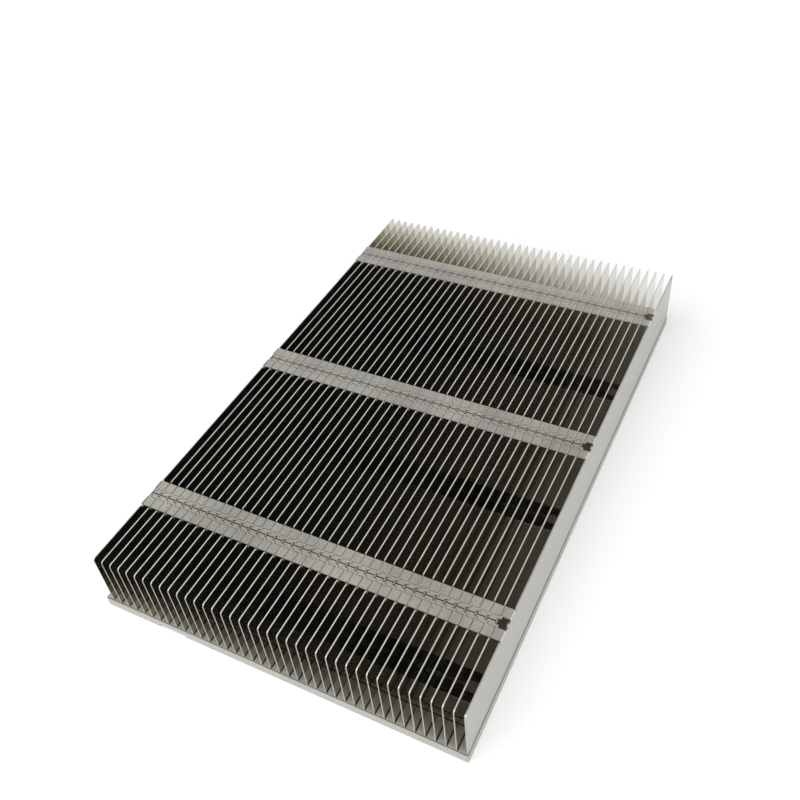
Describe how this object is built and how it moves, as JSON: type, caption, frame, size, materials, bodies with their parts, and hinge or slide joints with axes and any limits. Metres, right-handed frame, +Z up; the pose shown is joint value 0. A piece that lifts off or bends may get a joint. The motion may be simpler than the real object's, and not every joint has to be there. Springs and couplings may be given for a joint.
{
  "type": "stacked folded-fin heat sink",
  "caption": "Stacked folded-fin heat sink: thin sheet-metal fins on a flat base plate, hooked to each other by rows of locking tabs across the top.",
  "frame": {"origin": "middle of the base plate's underside", "axes": "+X across the fins, from the cropped end of the pack to the end with empty lock windows; +Y along the fins, from front to back; +Z up, away from the base plate"},
  "size_m": [0.1, 0.16, 0.02],
  "materials": {
    "base_metal": "milled, with sawn edges",
    "fin_metal": "bright rolled sheet, with sheared edges"
  },
  "bodies": {
    "root": {"base_plate": "base_metal", "fin_01": "fin_metal", "fin_02": "fin_metal", "fin_03": "fin_metal", "fin_04": "fin_metal", "fin_05": "fin_metal", "fin_06": "fin_metal", "fin_07": "fin_metal", "fin_08": "fin_metal", "fin_09": "fin_metal", "fin_10": "fin_metal", "fin_11": "fin_metal", "fin_12": "fin_metal", "fin_13": "fin_metal", "fin_14": "fin_metal", "fin_15": "fin_metal", "fin_16": "fin_metal", "fin_17": "fin_metal", "fin_18": "fin_metal", "fin_19": "fin_metal", "fin_20": "fin_metal", "fin_21": "fin_metal", "fin_22": "fin_metal", "fin_23": "fin_metal", "fin_24": "fin_metal", "fin_25": "fin_metal", "fin_26": "fin_metal", "fin_27": "fin_metal", "fin_28": "fin_metal", "fin_29": "fin_metal", "fin_30": "fin_metal", "fin_31": "fin_metal", "fin_32": "fin_metal", "fin_33": "fin_metal", "fin_34": "fin_metal", "fin_35": "fin_metal", "fin_36": "fin_metal", "fin_37": "fin_metal", "fin_38": "fin_metal", "fin_39": "fin_metal", "fin_40": "fin_metal"}
  },
  "joints": []
}
